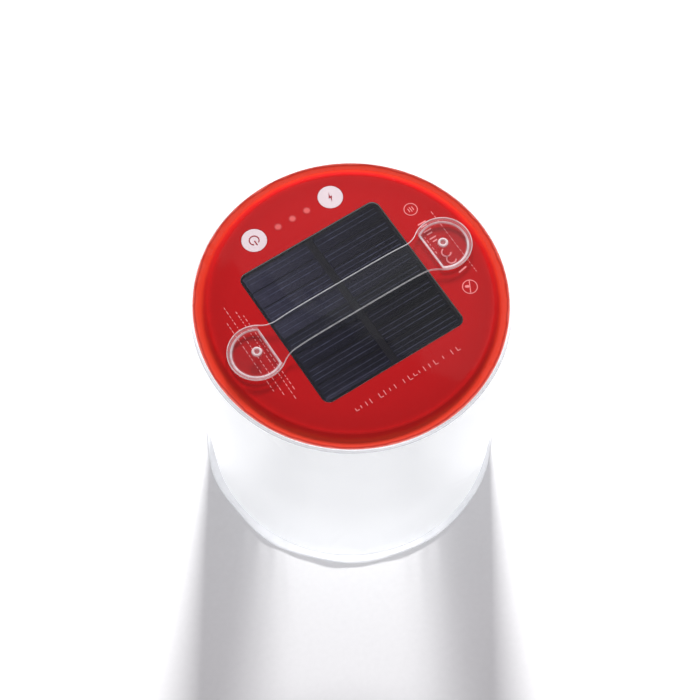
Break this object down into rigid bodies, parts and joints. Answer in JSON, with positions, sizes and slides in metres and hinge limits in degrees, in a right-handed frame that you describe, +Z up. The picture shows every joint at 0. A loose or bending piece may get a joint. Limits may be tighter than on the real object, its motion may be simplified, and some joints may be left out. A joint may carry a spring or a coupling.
{
  "type": "solar lantern",
  "caption": "Inflatable solar lantern: a frosted film drum with a round solar capsule under a red film top, a clear snap strap and a valve in its base.",
  "frame": {"origin": "on the floor, at the middle of the base seam flange", "axes": "+Z up through the middle of the drum, X along the hanging strap with the snap end at +X, +Y towards the two push buttons"},
  "size_m": [0.113, 0.113, 0.1135],
  "materials": {
    "frosted_film": "satin frosted film",
    "clear_film": "clear glossy film",
    "red_film": "glossy printed film",
    "white_plastic": "satin",
    "lens_plastic": "clear, slightly frosted",
    "gasket_rubber": "matte",
    "panel_black": "satin",
    "cell_silicon": "dark blue silicon",
    "lead_red": "satin",
    "lead_black": "satin",
    "board_green": "satin",
    "screw_steel": "bright",
    "part_black": "matte",
    "pouch_foil": "foil",
    "diode_yellow": "gloss",
    "light_pipe_pink": "gloss",
    "snap_plastic": "clear to milky",
    "button_white": "gloss",
    "valve_plastic": "milky soft plastic"
  },
  "bodies": {
    "base": {"base_film": "frosted_film", "base_weld_ring": "clear_film", "side_wall": "frosted_film", "wall_lap_seam": "frosted_film", "valve_collar": "white_plastic"},
    "top_unit": {"clear_cover": "clear_film", "red_sheet": "red_film", "top_weld_ring": "clear_film", "capsule_top": "white_plastic", "capsule_lens": "lens_plastic", "capsule_gasket": "gasket_rubber", "reflector": "white_plastic", "panel_board": "panel_black", "panel_tape": "panel_black", "solar_cells": "cell_silicon", "panel_resin": "clear_film", "panel_leads": "lead_red", "main_board": "board_green", "board_screws": "screw_steel", "board_parts": "part_black", "controller_chip": "part_black", "battery_pouch": "pouch_foil", "battery_tape": "white_plastic", "battery_socket": "white_plastic", "battery_lead_red": "lead_red", "battery_lead_black": "lead_black", "power_switch": "part_black", "level_switch": "part_black", "charge_diodes": "diode_yellow", "charge_light_pipes": "light_pipe_pink", "lamp_diodes": "diode_yellow", "strap_patch_left": "clear_film", "strap_patch_right": "clear_film", "snap_stud_left": "snap_plastic", "snap_stud_right": "snap_plastic", "strap_tab_left": "clear_film", "snap_cap_left": "snap_plastic"},
    "strap": {"strap_band": "clear_film", "snap_cap_right": "snap_plastic"},
    "power_button": {"power_button": "button_white", "power_plunger": "part_black"},
    "level_button": {"level_button": "button_white", "level_plunger": "part_black"},
    "valve": {"valve_body": "valve_plastic", "valve_flap": "valve_plastic"},
    "valve_plug": {"valve_plug": "valve_plastic"}
  },
  "joints": [
    {"name": "collapse", "type": "slide", "parent": "base", "child": "top_unit", "axis": [0, 0, 1], "range_m": [-0.084, 0], "stiffness_N_per_m": 80, "springref_m": 0.02, "deforming": ["side_wall", "wall_lap_seam"]},
    {"name": "strap_lift", "type": "hinge", "parent": "top_unit", "child": "strap", "pos_m": [-0.0315, 0, 0.11175], "axis": [0, -1, 0], "range_deg": [0, 150]},
    {"name": "power_press", "type": "slide", "parent": "top_unit", "child": "power_button", "axis": [0, 0, -1], "range_m": [0, 0.0004], "stiffness_N_per_m": 2000},
    {"name": "level_press", "type": "slide", "parent": "top_unit", "child": "level_button", "axis": [0, 0, -1], "range_m": [0, 0.0004], "stiffness_N_per_m": 2000},
    {"name": "valve_pull", "type": "slide", "parent": "base", "child": "valve", "axis": [0, 0, -1], "range_m": [0, 0.0032]},
    {"name": "plug_open", "type": "hinge", "parent": "valve", "child": "valve_plug", "pos_m": [0.0076, 0, 0.00137], "axis": [0, -1, 0], "range_deg": [0, 150]}
  ]
}
